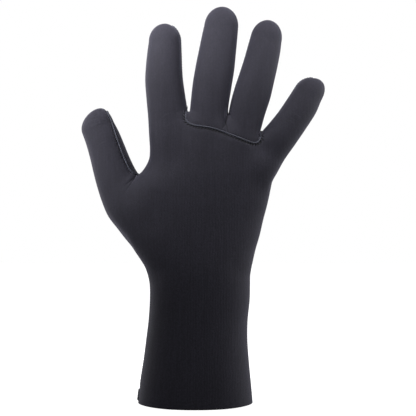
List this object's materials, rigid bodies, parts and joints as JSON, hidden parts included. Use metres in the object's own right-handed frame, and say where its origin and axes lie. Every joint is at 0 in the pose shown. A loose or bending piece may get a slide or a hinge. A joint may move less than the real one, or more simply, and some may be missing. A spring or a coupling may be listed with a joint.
{
  "type": "diving glove",
  "caption": "Right-hand neoprene diving glove with a long flared cuff, a set-in panel for the two middle fingers and raised seams.",
  "frame": {"origin": "centre of the cuff's mouth, where a wrist goes in", "axes": "+Z from the cuff to the fingertips, -Y out of the back of the hand, +X to the little finger's side"},
  "size_m": [0.1766, 0.0548, 0.288],
  "materials": {
    "neoprene": "black knitted jersey over foam neoprene, matt with a soft sheen",
    "seam_thread": "dark slate blind-stitch thread, slightly shiny"
  },
  "bodies": {
    "root": {"main_panel": "neoprene", "middle_ring_panel": "neoprene", "thumb_inner_panel": "neoprene", "finger_base_seam": "seam_thread", "thumb_seam": "seam_thread", "cuff_side_seam": "seam_thread", "seam_end_tack": "seam_thread", "index_finger_seam": "seam_thread", "middle_finger_seam": "seam_thread", "ring_finger_seam": "seam_thread", "little_finger_seam": "seam_thread"}
  },
  "joints": []
}
